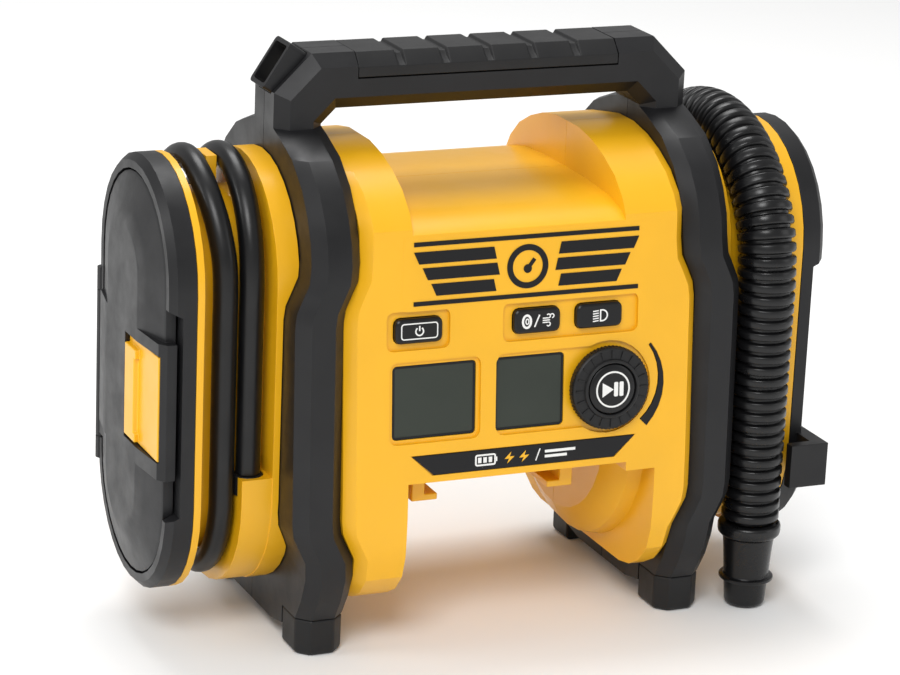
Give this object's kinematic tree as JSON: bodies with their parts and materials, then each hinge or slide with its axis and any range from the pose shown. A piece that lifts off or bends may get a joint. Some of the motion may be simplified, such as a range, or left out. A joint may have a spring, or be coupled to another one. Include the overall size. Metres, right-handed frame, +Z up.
{
  "type": "cordless air pump",
  "caption": "Cordless air pump with a carry handle and cage, control panel, battery slot, wound rubber hose, wide corrugated hose and an end storage compartment.",
  "frame": {"origin": "on the ground, under the middle of the object's box", "axes": "+X to the right seen from the control panel, -Y out of the control panel, +Z up"},
  "size_m": [0.315, 0.1491, 0.2587],
  "materials": {
    "yellow_shell": "smooth satin-gloss moulded plastic",
    "black_frame": "semi-matte moulded plastic with a fine grain",
    "grip_rubber": "soft-touch rubber with cross grooves",
    "foot_rubber": "matt rubber",
    "hose_rubber": "smooth rubber",
    "corrugated_plastic": "ribbed flexible plastic",
    "button_plastic": "satin plastic with printed white marks",
    "display_glass": "dark display window",
    "printed_black": "printed label",
    "badge_yellow": "printed label on yellow",
    "lamp_lens": "milky light lens",
    "steel": "bright steel",
    "brass": "turned brass",
    "aluminium": "cast aluminium",
    "circuit_board": "green circuit board",
    "grey_plastic": "grey moulded plastic"
  },
  "bodies": {
    "pump_body": {"front_cage": "black_frame", "rear_cage": "black_frame", "handle_grip": "grip_rubber", "foot_front_left": "foot_rubber", "foot_front_right": "foot_rubber", "foot_rear_left": "foot_rubber", "foot_rear_right": "foot_rubber", "front_housing": "yellow_shell", "rear_housing": "yellow_shell", "left_drum": "yellow_shell", "right_drum": "yellow_shell", "storage_tub": "black_frame", "door_hinge_pin": "steel", "right_end_cap": "black_frame", "compressor_motor": "steel", "gear_bracket": "aluminium", "connecting_rod": "aluminium", "piston": "steel", "cylinder": "aluminium", "cylinder_head": "aluminium", "blower_motor": "steel", "blower_volute": "black_frame", "display_window_left": "display_glass", "display_window_right": "display_glass", "control_board": "circuit_board", "dial_marker": "printed_black", "label_strip": "printed_black", "front_badge": "badge_yellow", "light_hood": "black_frame", "light_board": "circuit_board", "light_lens": "lamp_lens", "hose_gland": "black_frame", "air_chuck": "brass", "lever_pin": "steel", "hose_cuff": "corrugated_plastic", "inflation_nozzle": "corrugated_plastic", "hose_port": "black_frame", "terminal_block": "yellow_shell", "negative_contact": "brass", "positive_contact": "brass", "power_inlet": "black_frame", "rear_screw_1": "steel", "rear_screw_2": "steel", "rear_screw_3": "steel", "rear_screw_4": "steel", "pressure_line": "hose_rubber", "high_pressure_hose": "hose_rubber", "inflation_hose": "corrugated_plastic"},
    "storage_door": {"storage_door": "black_frame"},
    "door_latch": {"door_latch": "yellow_shell"},
    "power_button": {"power_button": "button_plastic"},
    "mode_button": {"mode_button": "button_plastic"},
    "light_button": {"light_button": "button_plastic"},
    "start_button": {"start_button": "button_plastic"},
    "dial_ring": {"dial_ring": "grip_rubber"},
    "crank_gear": {"crank_gear": "grey_plastic"},
    "motor_rotor": {"motor_pinion": "steel", "cooling_fan": "grey_plastic"},
    "blower_rotor": {"blower_impeller": "grey_plastic"},
    "chuck_lever": {"chuck_lever": "steel"}
  },
  "joints": [
    {"name": "door_hinge", "type": "hinge", "parent": "pump_body", "child": "storage_door", "pos_m": [-0.1517, 0.0475, 0.106], "axis": [0, 0, -1], "range_deg": [0, 100]},
    {"name": "latch_pivot", "type": "hinge", "parent": "storage_door", "child": "door_latch", "pos_m": [-0.1574, -0.0395, 0.112], "axis": [0, 0, 1], "range_deg": [0, 20], "stiffness_Nm_per_rad": 0.08},
    {"name": "power_button_press", "type": "slide", "parent": "pump_body", "child": "power_button", "axis": [0, 0.9972, -0.075], "range_m": [0, 0.001], "stiffness_N_per_m": 600},
    {"name": "mode_button_press", "type": "slide", "parent": "pump_body", "child": "mode_button", "axis": [0, 0.9972, -0.075], "range_m": [0, 0.001], "stiffness_N_per_m": 600},
    {"name": "light_button_press", "type": "slide", "parent": "pump_body", "child": "light_button", "axis": [0, 0.9972, -0.075], "range_m": [0, 0.001], "stiffness_N_per_m": 600},
    {"name": "start_button_press", "type": "slide", "parent": "pump_body", "child": "start_button", "axis": [0, 0.9972, -0.075], "range_m": [0, 0.0015], "stiffness_N_per_m": 600},
    {"name": "dial_turn", "type": "hinge", "parent": "pump_body", "child": "dial_ring", "pos_m": [0.039, -0.06847, 0.11379], "axis": [0, -0.9972, 0.075], "continuous": true},
    {"name": "crank_spin", "type": "hinge", "parent": "pump_body", "child": "crank_gear", "pos_m": [0.004, 0.012, 0.1279], "axis": [1, 0, 0], "continuous": true},
    {"name": "motor_spin", "type": "hinge", "parent": "pump_body", "child": "motor_rotor", "pos_m": [-0.03, 0.012, 0.16], "axis": [1, 0, 0], "continuous": true},
    {"name": "blower_spin", "type": "hinge", "parent": "pump_body", "child": "blower_rotor", "pos_m": [0.052, -0.002, 0.122], "axis": [1, 0, 0], "continuous": true},
    {"name": "chuck_lever_pivot", "type": "hinge", "parent": "pump_body", "child": "chuck_lever", "pos_m": [-0.1269, 0.0621, 0.092], "axis": [-1, 0, 0], "range_deg": [0, 85]}
  ],
  "couplings": [
    {"joint": "crank_spin", "follows": "motor_spin", "ratio": -0.18519}
  ]
}
